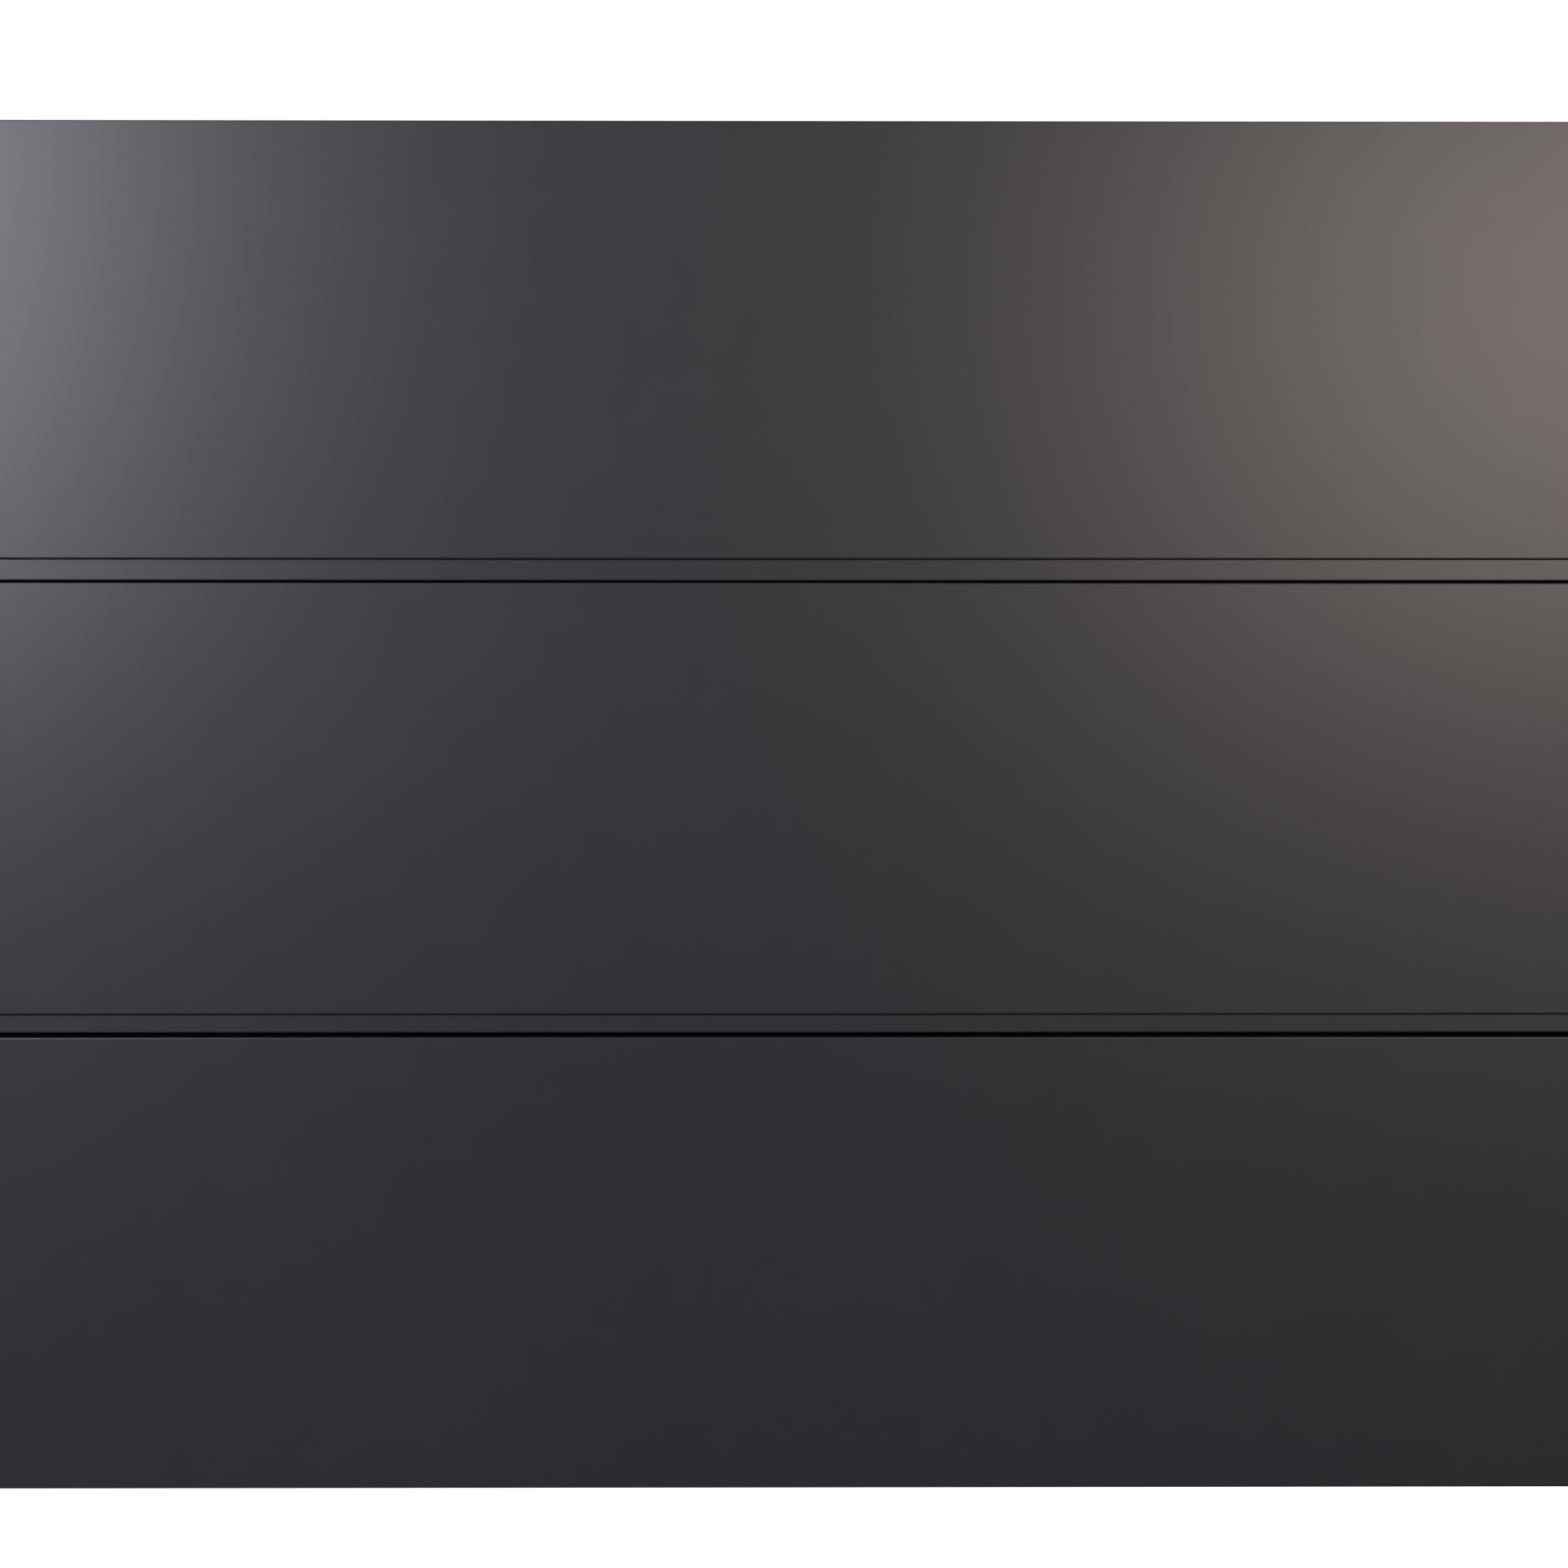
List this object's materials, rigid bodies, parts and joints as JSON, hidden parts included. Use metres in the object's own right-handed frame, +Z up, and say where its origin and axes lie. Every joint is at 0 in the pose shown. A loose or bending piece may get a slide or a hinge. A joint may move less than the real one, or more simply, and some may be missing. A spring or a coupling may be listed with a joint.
{
  "type": "dresser with drawers",
  "caption": "Low, wide dresser with three full-width handleless drawers on ball-bearing slides, pushed to open, with a shallow shadow band along each joint.",
  "frame": {"origin": "on the floor, under the middle of the dresser's plan", "axes": "+X along the width to the viewer's right, +Y from the drawer fronts to the back, +Z up"},
  "size_m": [1.2, 0.48, 0.879],
  "materials": {
    "lacquer": "silk-matt anthracite lacquer on fibreboard",
    "melamine": "matt anthracite melamine-faced board",
    "oak": "oiled oak",
    "plywood": "clear-lacquered birch plywood",
    "beech": "plain beech dowels",
    "zinc_steel": "bright zinc-plated steel",
    "leg_coating": "fine-textured black powder coating on steel tube",
    "nylon": "black nylon",
    "latch_plastic": "grey moulded acetal"
  },
  "bodies": {
    "carcass": {"top_panel": "lacquer", "bottom_panel": "melamine", "back_panel": "melamine", "rear_rail": "melamine", "cross_rail_lower": "melamine", "cross_rail_upper": "melamine", "carcass_dowels": "beech", "cam_fittings": "zinc_steel", "back_screws": "zinc_steel", "euro_screws": "zinc_steel", "touch_latches": "latch_plastic", "leg_glides": "nylon", "side_panel_left": "lacquer", "leg_front_left": "leg_coating", "leg_rear_left": "leg_coating", "side_panel_right": "lacquer", "leg_front_right": "leg_coating", "leg_rear_right": "leg_coating", "slide_outer_lower_left": "zinc_steel", "slide_outer_lower_right": "zinc_steel", "slide_outer_middle_left": "zinc_steel", "slide_outer_middle_right": "zinc_steel", "slide_outer_upper_left": "zinc_steel", "slide_outer_upper_right": "zinc_steel"},
    "lower_drawer": {"drawer_front_lower": "lacquer", "box_side_lower_left": "oak", "box_side_lower_right": "oak", "box_back_lower": "oak", "box_bottom_lower": "plywood", "slide_inner_lower_left": "zinc_steel", "slide_inner_lower_right": "zinc_steel", "drawer_fixings_lower": "zinc_steel"},
    "lower_slide_middles": {"slide_middle_pair_lower": "zinc_steel"},
    "lower_outer_cages": {"outer_ball_cages_lower": "zinc_steel"},
    "lower_inner_cages": {"inner_ball_cages_lower": "zinc_steel"},
    "middle_drawer": {"drawer_front_middle": "lacquer", "box_side_middle_left": "oak", "box_side_middle_right": "oak", "box_back_middle": "oak", "box_bottom_middle": "plywood", "slide_inner_middle_left": "zinc_steel", "slide_inner_middle_right": "zinc_steel", "drawer_fixings_middle": "zinc_steel"},
    "middle_slide_middles": {"slide_middle_pair_middle": "zinc_steel"},
    "middle_outer_cages": {"outer_ball_cages_middle": "zinc_steel"},
    "middle_inner_cages": {"inner_ball_cages_middle": "zinc_steel"},
    "upper_drawer": {"drawer_front_upper": "lacquer", "box_side_upper_left": "oak", "box_side_upper_right": "oak", "box_back_upper": "oak", "box_bottom_upper": "plywood", "slide_inner_upper_left": "zinc_steel", "slide_inner_upper_right": "zinc_steel", "drawer_fixings_upper": "zinc_steel"},
    "upper_slide_middles": {"slide_middle_pair_upper": "zinc_steel"},
    "upper_outer_cages": {"outer_ball_cages_upper": "zinc_steel"},
    "upper_inner_cages": {"inner_ball_cages_upper": "zinc_steel"}
  },
  "joints": [
    {"name": "lower_drawer_slide", "type": "slide", "parent": "carcass", "child": "lower_drawer", "axis": [0, -1, 0], "range_m": [0, 0.4]},
    {"name": "lower_slide_middles_travel", "type": "slide", "parent": "carcass", "child": "lower_slide_middles", "axis": [0, -1, 0], "range_m": [0, 0.2]},
    {"name": "lower_outer_cages_travel", "type": "slide", "parent": "carcass", "child": "lower_outer_cages", "axis": [0, -1, 0], "range_m": [0, 0.1]},
    {"name": "lower_inner_cages_travel", "type": "slide", "parent": "carcass", "child": "lower_inner_cages", "axis": [0, -1, 0], "range_m": [0, 0.3]},
    {"name": "middle_drawer_slide", "type": "slide", "parent": "carcass", "child": "middle_drawer", "axis": [0, -1, 0], "range_m": [0, 0.4]},
    {"name": "middle_slide_middles_travel", "type": "slide", "parent": "carcass", "child": "middle_slide_middles", "axis": [0, -1, 0], "range_m": [0, 0.2]},
    {"name": "middle_outer_cages_travel", "type": "slide", "parent": "carcass", "child": "middle_outer_cages", "axis": [0, -1, 0], "range_m": [0, 0.1]},
    {"name": "middle_inner_cages_travel", "type": "slide", "parent": "carcass", "child": "middle_inner_cages", "axis": [0, -1, 0], "range_m": [0, 0.3]},
    {"name": "upper_drawer_slide", "type": "slide", "parent": "carcass", "child": "upper_drawer", "axis": [0, -1, 0], "range_m": [0, 0.4]},
    {"name": "upper_slide_middles_travel", "type": "slide", "parent": "carcass", "child": "upper_slide_middles", "axis": [0, -1, 0], "range_m": [0, 0.2]},
    {"name": "upper_outer_cages_travel", "type": "slide", "parent": "carcass", "child": "upper_outer_cages", "axis": [0, -1, 0], "range_m": [0, 0.1]},
    {"name": "upper_inner_cages_travel", "type": "slide", "parent": "carcass", "child": "upper_inner_cages", "axis": [0, -1, 0], "range_m": [0, 0.3]}
  ],
  "couplings": [
    {"joint": "lower_slide_middles_travel", "follows": "lower_drawer_slide", "ratio": 0.5},
    {"joint": "lower_outer_cages_travel", "follows": "lower_drawer_slide", "ratio": 0.25},
    {"joint": "lower_inner_cages_travel", "follows": "lower_drawer_slide", "ratio": 0.75},
    {"joint": "middle_slide_middles_travel", "follows": "middle_drawer_slide", "ratio": 0.5},
    {"joint": "middle_outer_cages_travel", "follows": "middle_drawer_slide", "ratio": 0.25},
    {"joint": "middle_inner_cages_travel", "follows": "middle_drawer_slide", "ratio": 0.75},
    {"joint": "upper_slide_middles_travel", "follows": "upper_drawer_slide", "ratio": 0.5},
    {"joint": "upper_outer_cages_travel", "follows": "upper_drawer_slide", "ratio": 0.25},
    {"joint": "upper_inner_cages_travel", "follows": "upper_drawer_slide", "ratio": 0.75}
  ]
}
